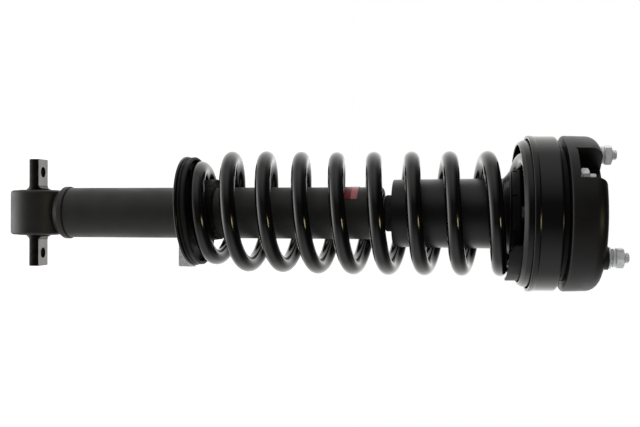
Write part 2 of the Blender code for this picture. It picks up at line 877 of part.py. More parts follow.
def housing(mount):
    """The cast upper body: a bore for the bush, holes for the studs, a pocket down to the third."""
    body = turned(
        "mount_housing",
        "housing_coat",
        [
            (HOUSING_TOP_R, FACE_H, HOUSING_CORNER_R),
            (HOUSING_R, HOUSING_BOTTOM_H, 0.0015),
            (BUSH_R + GAP, HOUSING_BOTTOM_H),
            (BUSH_R + GAP, FACE_H - 0.006),
            (ACCESS_R, FACE_H - 0.006),
            (ACCESS_R, FACE_H),
        ],
        parent=mount,
    )
    pocket = block(
        "pocket_cutter",
        None,
        (POCKET_INNER_R, -POCKET_HALF_WIDTH, FACE_H - POCKET_DEPTH),
        (0.09, POCKET_HALF_WIDTH, FACE_H + 0.01),
        turn=(0, 0, POCKET_ANGLE),
        parent=mount,
    )
    corners = pocket.modifiers.new("corners", "BEVEL")
    corners.width = 0.003
    corners.segments = 2
    boolean(body, pocket)
    for count, (x, y, floor) in enumerate(STUD_PLACES, 1):
        if floor > FACE_H:
            boss = prism(
                f"stud_boss_{count}",
                None,
                MIDDLE_SIDES,
                BOSS_R,
                floor - 0.013,
                floor,
                at=(x, y, 0),
                parent=mount,
            )
            boolean(body, boss, "UNION")
        hole = prism(
            f"stud_hole_cutter_{count}",
            None,
            SMALL_SIDES,
            STUD_R + GAP,
            floor - STUD_ROOT,
            floor + 0.004,
            at=(x, y, 0),
            parent=mount,
        )
        boolean(body, hole)
    turned(
        "access_cap",
        "cover_plastic",
        disc(ACCESS_R - GAP, FACE_H - 0.0025, FACE_H),
        sides=MIDDLE_SIDES,
        parent=mount,
    )


def studs(mount):
    """Each stud with its nut and washers. The third stands in the pocket, its nut close to the floor."""
    for count, (x, y, floor) in enumerate(STUD_PLACES, 1):
        in_pocket = floor < FACE_H
        lying = {"at": (x, y, floor), "parent": mount}
        turned(
            f"mount_stud_{count}",
            "zinc",
            disc(STUD_R, GAP - STUD_ROOT, POCKET_STUD_TIP if in_pocket else STUD_TIP, 0.0012),
            sides=SMALL_SIDES,
            **lying,
        )
        bore = STUD_R + GAP
        turned(
            f"flat_washer_{count}",
            "zinc",
            ring(bore, WASHER_R, GAP, WASHER_TOP),
            sides=SMALL_SIDES,
            **lying,
        )
        nut_low = WASHER_TOP + GAP
        if not in_pocket:
            turned(
                f"lock_washer_{count}",
                "zinc",
                ring(bore, LOCK_WASHER_R, LOCK_WASHER_LOW, LOCK_WASHER_TOP, 0.0005),
                sides=SMALL_SIDES,
                **lying,
            )
            nut_low = LOCK_WASHER_TOP + GAP
        bored_nut(
            f"stud_nut_{count}",
            "zinc",
            NUT_ACROSS_FLATS,
            STUD_R,
            nut_low,
            nut_low + NUT_HEIGHT,
            **lying,
        )


clear_scene()
PARTS = new_collection("strut_assembly")
CUTTERS = new_collection("cutters")
MATERIALS = {name: new_material(name, *look) for name, look in LOOKS.items()}

bar_pin()
eye()
base_cap()
damper_tubes()
tube_label()
rod_seals()
rod_and_piston()
rod_end()
dust_cover()
bump_stop()
lower_seat()
coil_spring()

mount_frame = empty_at("mount_frame", (0, 0, BUSH_Z))
mount_frame.rotation_euler = (-MOUNT_LEAN, 0, 0)
spring_seats(mount_frame)
bush(mount_frame)
housing(mount_frame)
studs(mount_frame)
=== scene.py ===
"""The looks of a coil-over strut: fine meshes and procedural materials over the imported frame."""

import json
import math

import bmesh
import bpy
from mathutils import Matrix, Vector


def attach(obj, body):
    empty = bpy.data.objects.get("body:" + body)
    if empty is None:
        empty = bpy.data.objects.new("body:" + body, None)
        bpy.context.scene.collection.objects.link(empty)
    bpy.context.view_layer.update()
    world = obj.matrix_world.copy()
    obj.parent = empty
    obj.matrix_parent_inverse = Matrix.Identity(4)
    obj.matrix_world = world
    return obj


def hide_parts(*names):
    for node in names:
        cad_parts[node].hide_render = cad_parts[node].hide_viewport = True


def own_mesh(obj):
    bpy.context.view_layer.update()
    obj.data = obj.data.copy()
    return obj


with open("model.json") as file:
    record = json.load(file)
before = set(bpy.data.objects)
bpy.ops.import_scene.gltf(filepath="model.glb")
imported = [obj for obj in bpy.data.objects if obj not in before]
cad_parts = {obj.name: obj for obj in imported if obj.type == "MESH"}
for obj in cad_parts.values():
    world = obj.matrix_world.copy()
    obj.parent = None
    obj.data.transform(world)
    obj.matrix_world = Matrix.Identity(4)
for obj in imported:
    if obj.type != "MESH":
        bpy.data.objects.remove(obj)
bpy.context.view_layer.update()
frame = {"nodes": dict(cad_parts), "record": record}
NODES = frame["nodes"]

# Heights on the strut's axis, and radii, as in the CAD
PIN_Z = -0.5615
TUBE_BOTTOM_Z = -0.525
SEAT_Z = -0.3969
TUBE_TOP_Z = -0.2015
COVER_TOP_Z = -0.0796
BUSH_Z = -0.036
TUBE_R = 0.0255
EYE_R = 0.0278
PIN_R = 0.012
WIRE_R = 0.00765
STUD_R = 0.005
GAP = 0.0003

# The lower seat, tilted on the tube and a little to one side
SEAT_TILT = math.radians(4)
SEAT_SHIFT_X = -0.0015
SEAT_HALF = 0.0015  # half the plate's thickness
SEAT = Matrix.Translation((SEAT_SHIFT_X, 0, SEAT_Z)) @ Matrix.Rotation(-SEAT_TILT, 4, "Y")

# The upper mount, leaning on the rod. Its heights, with names that end in H, are taken from the bush's centre
MOUNT_LEAN = math.radians(5)
MOUNT = Matrix.Translation((0, 0, BUSH_Z)) @ Matrix.Rotation(-MOUNT_LEAN, 4, "X")
FACE_H = -BUSH_Z * math.cos(MOUNT_LEAN)
HOUSING_BOTTOM_H = 0.0025
CUP_TOP_H = -0.0033
RING_TOP_H = -0.0061
ISOLATOR_TOP_H = -0.0086
ISOLATOR_LOW_H = -0.0194
MOUNT_HOLE_R = 0.030
POCKET_DEPTH = 0.0245
BOSS_HEIGHT = 0.0022
STUDS = (
    (-0.0563, 0.0125, FACE_H + BOSS_HEIGHT),
    (0.0400, -0.0425, FACE_H + BOSS_HEIGHT),
    (-0.0315, -0.0454, FACE_H - POCKET_DEPTH),
)

# The eye, which lies across the strut with the pin through it
LYING = Matrix.Translation((0, 0, PIN_Z)) @ Matrix.Rotation(math.pi / 2, 4, "Y")
EYE_HALF = 0.02275
EYE_BORE_R = EYE_R - 0.0055

ON_AXIS = 1e-7  # a smaller radius than this is none
ARC_STEP = math.radians(14)  # between the points of a rounded corner


# Materials

NOISE_LOW, NOISE_HIGH = 0.35, 0.65
BLOTCH_DETAIL, HANDLED_DETAIL, GRAIN_DETAIL = 5.0, 6.0, 3.0
HANDLED_SCALE = 0.6  # of the mottle's scale
SMOOTHEST = 0.03
GRAIN_DEPTH = 0.0002
LOOKS = {}


def node(tree, kind, **values):
    """A shader node with its inputs, or its own settings, set by name."""
    made = tree.nodes.new("ShaderNode" + kind)
    for name, value in values.items():
        if name in made.inputs:
            made.inputs[name].default_value = value
        else:
            setattr(made, name, value)
    return made


def maths(tree, operation, *values):
    made = node(tree, "Math", operation=operation)
    for value, socket in zip(values, made.inputs):
        tree.links.new(value, socket)
    return made.outputs[0]


def noise(tree, coords, scale, detail, stretch=None):
    made = node(tree, "TexNoise", Scale=scale, Detail=detail)
    if stretch:
        mapping = node(tree, "Mapping", Scale=stretch)
        tree.links.new(coords, mapping.inputs["Vector"])
        coords = mapping.outputs["Vector"]
    tree.links.new(coords, made.inputs["Vector"])
    return made.outputs["Fac"]


def ranged(tree, value, low, high, start=NOISE_LOW, end=NOISE_HIGH):
    """Maps a value that runs from start to end, by default a noise, onto low to high."""
    made = node(tree, "MapRange")
    made.inputs["From Min"].default_value = start
    made.inputs["From Max"].default_value = end
    made.inputs["To Min"].default_value = low
    made.inputs["To Max"].default_value = high
    tree.links.new(value, made.inputs["Value"])
    return made.outputs["Result"]


def material(
    name, colour, rough, spread, grain, grain_scale, mottle, mottle_scale, stretch=None, edge=0.0, **sockets
):
    """A finish with uneven roughness, mottled colour, a fine grain and, where edge is set, softened edges."""
    made = bpy.data.materials.new(name)
    made.use_nodes = True
    tree = made.node_tree
    shader = tree.nodes["Principled BSDF"]
    for socket, value in sockets.items():
        shader.inputs[socket.replace("_", " ")].default_value = value
    coords = node(tree, "TexCoord").outputs["Object"]
    blotches = noise(tree, coords, mottle_scale, BLOTCH_DETAIL)
    tint = node(tree, "Mix", data_type="RGBA")
    tint.inputs["A"].default_value = (*[c * (1 - mottle) for c in colour], 1)
    tint.inputs["B"].default_value = (*[min(c * (1 + mottle), 1) for c in colour], 1)
    tree.links.new(ranged(tree, blotches, 0, 1), tint.inputs["Factor"])
    tree.links.new(tint.outputs["Result"], shader.inputs["Base Color"])
    handled = noise(tree, coords, mottle_scale * HANDLED_SCALE, HANDLED_DETAIL)
    uneven = ranged(tree, handled, max(rough - spread, SMOOTHEST), min(rough + spread, 1))
    tree.links.new(uneven, shader.inputs["Roughness"])
    bump = node(tree, "Bump", Strength=grain, Distance=GRAIN_DEPTH)
    tree.links.new(noise(tree, coords, grain_scale, GRAIN_DETAIL, stretch), bump.inputs["Height"])
    if edge:
        softened = node(tree, "Bevel", Radius=edge)
        tree.links.new(softened.outputs["Normal"], bump.inputs["Normal"])
    tree.links.new(bump.outputs["Normal"], shader.inputs["Normal"])
    LOOKS[name] = made


def two_tone(name, source, colour, start, end):
    """Gives a finish a second colour where its coordinate's height, up or down, passes from start to end."""
    tree = LOOKS[name].node_tree
    shader = tree.nodes["Principled BSDF"]
    painted = shader.inputs["Base Color"].links[0].from_socket
    split = node(tree, "SeparateXYZ")
    tree.links.new(node(tree, "TexCoord").outputs[source], split.inputs[0])
    height = maths(tree, "ABSOLUTE", split.outputs["Z"])
    both = node(tree, "Mix", data_type="RGBA")
    tree.links.new(painted, both.inputs["A"])
    both.inputs["B"].default_value = (*colour, 1)
    tree.links.new(ranged(tree, height, 0, 1, start, end), both.inputs["Factor"])
    tree.links.new(both.outputs["Result"], shader.inputs["Base Color"])


# Paints and coats
material(
    "tube_paint", (0.022, 0.0213, 0.020), rough=0.5, spread=0.06,
    grain=0.25, grain_scale=1400, mottle=0.15, mottle_scale=50,
)
material(
    "spring_coat", (0.005, 0.0048, 0.0046), rough=0.13, spread=0.03,
    grain=0.06, grain_scale=700, mottle=0.3, mottle_scale=45, IOR=1.6,
)
material(
    "cup_paint", (0.0045, 0.0042, 0.0042), rough=0.2, spread=0.03,
    grain=0.05, grain_scale=900, mottle=0.2, mottle_scale=40,
)
material(
    "housing_coat", (0.006, 0.0057, 0.0057), rough=0.45, spread=0.06,
    grain=0.3, grain_scale=1100, mottle=0.2, mottle_scale=60, edge=0.0012,
)

# Rubber, plastic and foam
material(
    "rubber", (0.003, 0.003, 0.003), rough=0.55, spread=0.08,
    grain=0.35, grain_scale=800, mottle=0.35, mottle_scale=90, Specular_IOR_Level=0.3,
)
material(
    "cover_plastic", (0.0065, 0.0065, 0.0065), rough=0.36, spread=0.05,
    grain=0.15, grain_scale=900, mottle=0.2, mottle_scale=60,
)
material(
    "bump_foam", (0.02, 0.02, 0.02), rough=0.85, spread=0.08,
    grain=0.8, grain_scale=1300, mottle=0.3, mottle_scale=250,
)

# Bare and plated metal
material(
    "pin_steel", (0.035, 0.033, 0.030), rough=0.36, spread=0.05,
    grain=0.4, grain_scale=1500, mottle=0.2, mottle_scale=200, edge=0.0005, Metallic=1.0,
)
material(
    "zinc", (0.90, 0.93, 0.94), rough=0.42, spread=0.08,
    grain=0.3, grain_scale=1800, mottle=0.12, mottle_scale=300, edge=0.0003, Metallic=0.2,
)
material(
    "bright_steel", (0.55, 0.55, 0.56), rough=0.2, spread=0.06,
    grain=0.15, grain_scale=600, mottle=0.1, mottle_scale=80, stretch=(1, 1, 14), Metallic=1.0,
)
material(
    "sintered_steel", (0.28, 0.28, 0.29), rough=0.5, spread=0.08,
    grain=0.6, grain_scale=2500, mottle=0.2, mottle_scale=300, Metallic=1.0,
)

# The label
material(
    "label_film", (0.42, 0.10, 0.11), rough=0.35, spread=0.06,
    grain=0.1, grain_scale=900, mottle=0.15, mottle_scale=200,
)

LABEL_SPLIT = (0.2313, 0.2317)  # how far below the origin the label turns dark
FLAT_SHEEN_FACING = (0.97, 0.99)  # how squarely up or down the pin's flats face where a paler colour is painted on, a painted reflection of the bright backdrop
two_tone("label_film", "Object", (0.16, 0.004, 0.008), *LABEL_SPLIT)
# Painted reflection: the pin's flats, which face up and down, get a paler colour that stands in for the
# bright backdrop they mirror.
two_tone("pin_steel", "Normal", (0.34, 0.335, 0.325), *FLAT_SHEEN_FACING)


# Meshes


def smooth_step(value, start, end):
    share = min(max((value - start) / (end - start), 0), 1)
    return share * share * (3 - 2 * share)


def polar(radius, angle, z):
    return radius * math.cos(angle), radius * math.sin(angle), z


def rounded(corners):
    """Outline points (r, z), with each corner (r, z, radius) turned into an arc."""
    points = []
    for i, (r, z, radius) in enumerate(corners):
        here = Vector((r, z, 0))
        if not radius:
            points.append(here)
            continue
        back = (Vector((*corners[i - 1][:2], 0)) - here).normalized()
        ahead = (Vector((*corners[(i + 1) % len(corners)][:2], 0)) - here).normalized()
        half = back.angle(ahead) / 2
        centre = here + (back + ahead).normalized() * radius / math.sin(half)
        start = here + back * radius / math.tan(half) - centre
        end = here + ahead * radius / math.tan(half) - centre
        steps = max(2, round((math.pi - 2 * half) / ARC_STEP))
        for step in range(steps + 1):
            points.append(centre + start.slerp(end, step / steps) * radius)
    return [(point.x, point.y) for point in points]


def profile(*corners):
    """An outline from corners (r, z) that stay sharp and corners (r, z, radius) that are rounded."""
    return rounded([(*corner, 0)[:3] for corner in corners])


def lathe(outline_at, sides):
    """Sweeps an outline round Z; outline_at(angle) gives its (r, z) points at that angle.

    An outline that starts on the axis also ends there. Any other closes on itself.
    """
    mesh = bmesh.new()
    columns = []
    on_axis = {}
    for side in range(sides):
        angle = 2 * math.pi * side / sides
        column = []
        for i, (r, z) in enumerate(outline_at(angle)):
            if r > ON_AXIS:
                column.append(mesh.verts.new(polar(r, angle, z)))
                continue
            if i not in on_axis:
                on_axis[i] = mesh.verts.new((0, 0, z))
            column.append(on_axis[i])
        columns.append(column)
    count = len(columns[0])
    for side in range(sides):
        a, b = columns[side], columns[(side + 1) % sides]
        for i in range(count - 1 if on_axis else count):
            j = (i + 1) % count
            corners = []
            for vert in (a[i], a[j], b[j], b[i]):
                if vert not in corners:
                    corners.append(vert)
            if len(corners) > 2:
                mesh.faces.new(corners)
    return mesh


def spun(outline, sides=128):
    return lathe(lambda angle: outline, sides)


def loft(rings):
    """Joins rings of (x, y, z) points, one to the next, and caps both ends."""
    shape = bmesh.new()
    rings = [[shape.verts.new(point) for point in ring] for ring in rings]
    count = len(rings[0])
    for a, b in zip(rings, rings[1:]):
        for i in range(count):
            j = (i + 1) % count
            shape.faces.new((a[i], a[j], b[j], b[i]))
    shape.faces.new(rings[0][::-1])
    shape.faces.new(rings[-1])
    return shape


def box_shape(low, high):
    shape = bmesh.new()
    bmesh.ops.create_cube(shape, size=1)
    bmesh.ops.scale(shape, verts=shape.verts, vec=Vector(high) - Vector(low))
    bmesh.ops.translate(shape, verts=shape.verts, vec=(Vector(high) + Vector(low)) / 2)
    return shape


def rod_shape(radius, low, high, sides=64):
    shape = bmesh.new()
    bmesh.ops.create_cone(
        shape, cap_ends=True, segments=sides, radius1=radius, radius2=radius, depth=high - low
    )
    bmesh.ops.translate(shape, verts=shape.verts, vec=(0, 0, (high + low) / 2))
    return shape


def loose(shape, name):
    """An object in the scene, made from a shape that it uses up."""
    mesh = bpy.data.meshes.new(name)
    shape.to_mesh(mesh)
    shape.free()
    obj = bpy.data.objects.new(name, mesh)
    bpy.context.scene.collection.objects.link(obj)
    return obj


def blank(shape, name, matrix=None):
    """A loose object, in its place and with its faces turned outward, that has no finish yet."""
    if matrix:
        shape.transform(matrix)
    bmesh.ops.recalc_face_normals(shape, faces=shape.faces)
    return loose(shape, name)


def cutter(shape, matrix=None, bevel=0.0, segments=5):
    """A loose object for boolean work, with its edges rounded if asked."""
    if matrix:
        shape.transform(matrix)
    if bevel:
        bmesh.ops.bevel(
            shape, geom=shape.edges[:], offset=bevel, segments=segments, profile=0.5, affect="EDGES"
        )
    return loose(shape, "cutter")


def combine(obj, others, operation="DIFFERENCE"):
    """Applies booleans with loose objects to obj's mesh, and deletes them."""
    for other in others:
        modifier = obj.modifiers.new("cut", "BOOLEAN")
        modifier.operation = operation
        modifier.object = other
        modifier.solver = "MANIFOLD"
        bpy.context.view_layer.update()
        evaluated = obj.evaluated_get(bpy.context.evaluated_depsgraph_get())
        mesh = bpy.data.meshes.new_from_object(evaluated)
        obj.modifiers.remove(modifier)
        obj.data = mesh
        bpy.data.objects.remove(other, do_unlink=True)


def dress(obj, look, body, replaces, sharp=35):
    """Gives an object its finish, smooth faces with crisp edges, its body and the CAD node it replaces."""
    obj.data.materials.clear()
    obj.data.materials.append(LOOKS[look])
    obj.data.shade_smooth()
    obj.data.set_sharp_from_angle(angle=math.radians(sharp))
    weighted = obj.modifiers.new("weighted", "WEIGHTED_NORMAL")
    weighted.keep_sharp = True
    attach(obj, body)
    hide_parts(*replaces)
    return obj


# Lower end


def bar_pin():
    """A round pin with two flats at each end, and a bolt hole through them."""
    half_length, flat_start, flat_half, root = 0.055, 0.0245, 0.005, 0.004
    hole_x, hole_r = 0.0417, 0.0054
    past, beyond = 0.02, 0.07
    outline = profile(
        (0, half_length), (PIN_R, half_length, 0.001), (PIN_R, -half_length, 0.001), (0, -half_length)
    )
    pin = blank(spun(outline, 96), "bar_pin_forging", LYING)
    cutters = []
    for side in (-1, 1):
        for face in (-1, 1):
            left, right = sorted((side * flat_start, side * beyond))
            low, high = sorted((PIN_Z + face * flat_half, PIN_Z + face * past))
            cutters.append(cutter(box_shape((left, -past, low), (right, past, high)), bevel=root))
        at = Matrix.Translation((side * hole_x, 0, PIN_Z))
        cutters.append(cutter(rod_shape(hole_r, -past, past), at))
    combine(pin, cutters)
    dress(pin, "pin_steel", "bar_pin", ["bar_pin"], 30)


def eye_ring():
    outline = profile(
        (EYE_R, EYE_HALF, 0.0032),
        (EYE_R, -EYE_HALF, 0.0032),
        (EYE_BORE_R, -EYE_HALF, 0.0005),
        (EYE_BORE_R, EYE_HALF, 0.0005),
    )
    dress(blank(spun(outline), "eye_ring_turned", LYING), "tube_paint", "damper", ["eye_ring"])


def eye_rubber():
    """The bush between ring and pin: its ends stand proud, with a groove round the pin."""
    out, core, lip = EYE_BORE_R - GAP, PIN_R + GAP, EYE_HALF + 0.0005
    groove_r, crest_r = 0.0155, 0.0172
    outline = profile(
        (out - 0.0015, lip, 0.0012),
        (out, EYE_HALF - 0.0025, 0.0008),
        (out, -EYE_HALF + 0.0025, 0.0008),
        (out - 0.0015, -lip, 0.0012),
        (crest_r, -lip, 0.0008),
        (groove_r, -EYE_HALF + 0.001, 0.001),
        (core, -lip, 0.0006),
        (core, lip, 0.0006),
        (groove_r, EYE_HALF - 0.001, 0.001),
        (crest_r, lip, 0.0008),
    )
    dress(blank(spun(outline), "eye_rubber_moulded", LYING), "rubber", "damper", ["eye_rubber"])


def base_cap():
    """The pressed cap under the tube, with a spigot inside it, hollowed to sit on the eye."""
    low, spigot, rim = TUBE_BOTTOM_Z, TUBE_R - 0.0023, 0.0268
    dome, reach = low - 0.012, 0.04
    outline = profile(
        (0, low + 0.0035),
        (spigot, low + 0.0035, 0.0005),
        (spigot, low - GAP),
        (rim, low - GAP, 0.001),
        (rim, low - 0.006, 0.0018),
        (rim - 0.0018, low - 0.0072, 0.0006),
        (rim - 0.0043, dome, 0.004),
        (0, dome),
    )
    cap = blank(spun(outline), "base_cap_pressed")
    combine(cap, [cutter(rod_shape(EYE_R + GAP, -reach, reach, 128), LYING)])
    dress(cap, "tube_paint", "damper", ["base_cap"])


# Damper tube


def reserve_tube():
    inner, mouth, low, high = TUBE_R - 0.002, 0.018, TUBE_BOTTOM_Z, TUBE_TOP_Z
    outline = profile(
        (mouth, high, 0.0008),
        (TUBE_R, high, 0.0032),
        (TUBE_R, low, 0.0004),
        (inner, low),
        (inner, high - 0.0035),
        (mouth, high - 0.0035),
    )
    dress(blank(spun(outline), "reserve_tube_drawn"), "tube_paint", "damper", ["reserve_tube"])


def label():
    """A thin film on the tube, rounded at its four corners."""
    rows, columns = 22, 40
    low, high, corner = -0.2463, -0.2253, 0.0012
    start, end = math.radians(172), math.radians(238.5)
    shape = bmesh.new()
    skins = []
    for radius in (TUBE_R + 0.00031, TUBE_R + 0.00055):
        grid = []
        for row in range(rows + 1):
            z = low + (high - low) * row / rows
            inset = min(max(corner - min(z - low, high - z), 0), corner)
            nip = (corner - math.sqrt(corner**2 - inset**2)) / TUBE_R
            left, right = start + nip, end - nip
            angles = [left + (right - left) * column / columns for column in range(columns + 1)]
            grid.append([shape.verts.new(polar(radius, angle, z)) for angle in angles])
        skins.append(grid)
    for grid in skins:
        for under, over in zip(grid, grid[1:]):
            for i in range(columns):
                shape.faces.new((under[i], under[i + 1], over[i + 1], over[i]))
    inner_rim, outer_rim = [
        grid[0][:-1] + [line[-1] for line in grid[:-1]] + grid[-1][:0:-1] + [line[0] for line in grid[:0:-1]]
        for grid in skins
    ]
    for i in range(len(inner_rim)):
        j = (i + 1) % len(inner_rim)
        shape.faces.new((inner_rim[i], inner_rim[j], outer_rim[j], outer_rim[i]))
    dress(blank(shape, "tube_label_film"), "label_film", "damper", ["tube_label"])


# Lower seat


def seat_cutters():
    """The tube's bore, which stays upright through the tilted parts, and the straight trim on one side."""
    trim_x, beyond, half_width = 0.053, 0.08, 0.06
    trim_low, trim_high = SEAT_Z - 0.02, SEAT_Z + 0.03
    return [
        cutter(rod_shape(TUBE_R + GAP, SEAT_Z - 0.03, SEAT_Z + 0.06, 160)),
        cutter(box_shape((trim_x, -half_width, trim_low), (beyond, half_width, trim_high))),
    ]


def lower_seat():
    """The tilted plate with its collar, cut round the upright tube and trimmed."""
    rim, collar, inside = 0.0555, 0.0285, 0.0225
    collar_low = -SEAT_HALF - 0.0025
    outline = profile(
        (rim, SEAT_HALF, 0.0012),
        (rim, -SEAT_HALF, 0.0012),
        (collar + 0.0015, -SEAT_HALF, 0.0008),
        (collar, -SEAT_HALF - 0.0015, 0.0008),
        (collar, collar_low, 0.0004),
        (inside, collar_low),
        (inside, SEAT_HALF),
    )
    plate = blank(spun(outline, 192), "lower_seat_pressing", SEAT)
    combine(plate, seat_cutters())
    dress(plate, "cup_paint", "damper", ["lower_seat"])


def seat_support():
    """The bead on the tube that carries the seat."""
    out, bore, top = 0.0303, TUBE_R + GAP, SEAT_Z - SEAT_HALF - 0.0052
    outline = profile(
        (out, top, 0.0006), (out, top - 0.0016, 0.0008), (bore, top - 0.0034, 0.0005), (bore, top)
    )
    dress(blank(spun(outline), "seat_support_bead"), "tube_paint", "damper", ["seat_support"])


def seat_tab():
    """The bracket plate under the seat: rounded lower corners, and an upper edge that follows the tilt."""
    under = SEAT_Z - SEAT_HALF / math.cos(SEAT_TILT) - 2 * GAP
    left, right, low, corner, arc_steps = 0.0312, 0.0548, -0.4125, 0.0015, 5
    near_y, thickness, edge = 0.0065, 0.003, 0.0005

    def quarter(centre_x, start):
        angles = [start + math.pi / 2 * step / arc_steps for step in range(arc_steps + 1)]
        centre_z = low + corner
        return [(centre_x + corner * math.cos(a), centre_z + corner * math.sin(a)) for a in angles]

    upper = [(x, under + x * math.tan(SEAT_TILT)) for x in (right, left)]
    outline = quarter(right - corner, 1.5 * math.pi) + upper + quarter(left + corner, math.pi)
    shape = bmesh.new()
    face = shape.faces.new([shape.verts.new((x, near_y, z)) for x, z in outline])
    pushed = bmesh.ops.extrude_face_region(shape, geom=[face])
    moved = [item for item in pushed["geom"] if isinstance(item, bmesh.types.BMVert)]
    bmesh.ops.translate(shape, verts=moved, vec=(0, thickness, 0))
    rims = [item for item in shape.edges if abs(item.verts[0].co.y - item.verts[1].co.y) < thickness / 2]
    bmesh.ops.bevel(shape, geom=rims, offset=edge, segments=3, profile=0.5, affect="EDGES")
    dress(blank(shape, "seat_tab_plate"), "zinc", "damper", ["seat_tab"])


def lower_isolator():
    """The moulded pad: a rimmed groove for the end coil, and a ribbed sleeve up the tube."""
    base = SEAT_HALF + GAP
    groove, wall_top, sleeve_top = base + 0.0007, base + 0.008, base + 0.0275
    rim, step_r, wall_r, sleeve_r, inside = 0.0542, 0.0531, 0.0514, 0.0310, 0.0225
    outline = profile(
        (sleeve_r - 0.001, sleeve_top, 0.001),
        (sleeve_r, groove + 0.010, 0.004),
        (sleeve_r + 0.0045, groove, 0.003),
        (wall_r - 0.001, groove, 0.001),
        (wall_r, wall_top, 0.0008),
        (rim, wall_top, 0.0014),
        (rim - 0.0002, base + 0.0040, 0.0004),
        (step_r, base + 0.0034, 0.0003),
        (step_r, base + 0.0028, 0.0003),
        (rim, base + 0.0022, 0.0004),
        (rim, base, 0.0008),
        (inside, base),
        (inside, sleeve_top),
    )
    ribs, rib_lean, rib_depth, rib_drop = 26, 150, 0.0003, 0.0006
    ribs_start, ribs_full = groove + 0.006, groove + 0.012

    def ribbed(angle):
        points = []
        for r, z in outline:
            up = smooth_step(z, ribs_start, ribs_full)
            if r > TUBE_R:
                ragged = 0.25 * math.sin(3 * angle + 600 * z) + 0.15 * math.sin(11 * angle)
                r += up * rib_depth * (math.sin(ribs * angle + rib_lean * z) + ragged)
                z += up * rib_drop * (math.sin(9 * angle) * math.sin(4 * angle + 1))
            points.append((r, z))
        return points

    isolator = blank(lathe(ribbed, 256), "lower_isolator_moulded", SEAT)
    combine(isolator, seat_cutters())
    dress(isolator, "rubber", "damper", ["lower_isolator"])


# Spring

POINTS_PER_TURN = 48
FIRST_TURN, LAST_TURN = -1.35, 8.6
START_Z = -0.3536  # the centre line's height at turn 0
END_COIL_R, COIL_R = 0.0428, 0.0526
LOW_PITCH, HIGH_PITCH = 0.0349, 0.0365

# Spans of turns over which something changes smoothly
OPENS = (-1.85, -0.1)
CLOSES = (7.9, 8.35)
WIDENS = (-0.8, 0)
STANDS_UP = (-1.0, -0.5)
CENTRES = (1.0, 3.0)
LEANS_X, LEAN_X = (2.5, 6), -0.051
LEANS_Y, LEAN_Y = (6.5, 8), -0.085


def spring_path():
    """The wire's centre line: it rises from the tilted seat, and leans with the mount at its top."""
    steps = round((LAST_TURN - FIRST_TURN) * POINTS_PER_TURN)
    turns = [FIRST_TURN + (LAST_TURN - FIRST_TURN) * step / steps for step in range(steps + 1)]
    heights = [0.0]
    for before, after in zip(turns, turns[1:]):
        middle = (before + after) / 2
        pitch = LOW_PITCH + (HIGH_PITCH - LOW_PITCH) * middle / LAST_TURN
        spread = smooth_step(middle, *OPENS) * (1 - smooth_step(middle, *CLOSES))
        heights.append(heights[-1] + pitch * spread * (after - before))
    zero = min(range(len(turns)), key=lambda i: abs(turns[i]))
    points = []
    for turn, height in zip(turns, heights):
        radius = END_COIL_R + (COIL_R - END_COIL_R) * smooth_step(turn, *WIDENS)
        x, y, z = polar(radius, math.pi + 2 * math.pi * turn, START_Z + height - heights[zero])
        z += LEAN_X * x * smooth_step(turn, *LEANS_X) + LEAN_Y * y * smooth_step(turn, *LEANS_Y)
        z += math.tan(SEAT_TILT) * x * (1 - smooth_step(turn, *STANDS_UP))
        shift = SEAT_SHIFT_X * (1 - smooth_step(turn, *CENTRES))
        points.append((x + shift, y, z))
    return points


def round_wire():
    """Geometry nodes that sweep a line into capped round wire."""
    group = bpy.data.node_groups.new("round_wire", "GeometryNodeTree")
    group.interface.new_socket("Geometry", in_out="INPUT", socket_type="NodeSocketGeometry")
    group.interface.new_socket("Geometry", in_out="OUTPUT", socket_type="NodeSocketGeometry")
    nodes, links = group.nodes, group.links
    start, end = nodes.new("NodeGroupInput"), nodes.new("NodeGroupOutput")
    curve = nodes.new("GeometryNodeMeshToCurve")
    circle = nodes.new("GeometryNodeCurvePrimitiveCircle")
    circle.inputs["Resolution"].default_value = 32
    circle.inputs["Radius"].default_value = WIRE_R
    sweep = nodes.new("GeometryNodeCurveToMesh")
    sweep.inputs["Fill Caps"].default_value = True
    soften = nodes.new("GeometryNodeSetShadeSmooth")
    finish = nodes.new("GeometryNodeSetMaterial")
    finish.inputs["Material"].default_value = LOOKS["spring_coat"]
    links.new(start.outputs[0], curve.inputs["Mesh"])
    links.new(curve.outputs["Curve"], sweep.inputs["Curve"])
    links.new(circle.outputs["Curve"], sweep.inputs["Profile Curve"])
    links.new(sweep.outputs["Mesh"], soften.inputs["Geometry"])
    links.new(soften.outputs["Geometry"], finish.inputs["Geometry"])
    links.new(finish.outputs["Geometry"], end.inputs[0])
    return group


def coil_spring():
    """A centre line on a mesh of its own, swept afterwards into round wire."""
    points = spring_path()
    mesh = bpy.data.meshes.new("coil_spring_wire")
    mesh.from_pydata(points, [(i, i + 1) for i in range(len(points) - 1)], [])
    spring = bpy.data.objects.new("coil_spring_wire", mesh)
    bpy.context.scene.collection.objects.link(spring)
    mesh.materials.append(LOOKS["spring_coat"])
    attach(spring, "damper")
    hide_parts("coil_spring")
    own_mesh(spring)
    spring.modifiers.new("wire", "NODES").node_group = round_wire()


# Dust cover and bump stop


def dust_cover():
    """A tapered sleeve that widens into a flange under the collar."""
    neck, high, mouth, wall = -0.087, COVER_TOP_Z, -0.1917, 0.0016
    flange, neck_r, mouth_r = 0.0405, 0.0337, 0.0328
    outline = profile(
        (flange, high, 0.0006),
        (flange - 0.0003, high - 0.0018, 0.0012),
        (flange - 0.0040, high - 0.0046, 0.002),
        (neck_r, neck, 0.002),
        (mouth_r, mouth, 0.0006),
        (mouth_r - wall, mouth, 0.0005),
        (neck_r - wall, neck + 0.0008, 0.002),
        (flange - 0.0040, high),
    )
    dress(blank(spun(outline), "dust_cover_moulded"), "cover_plastic", "rod", ["dust_cover"])


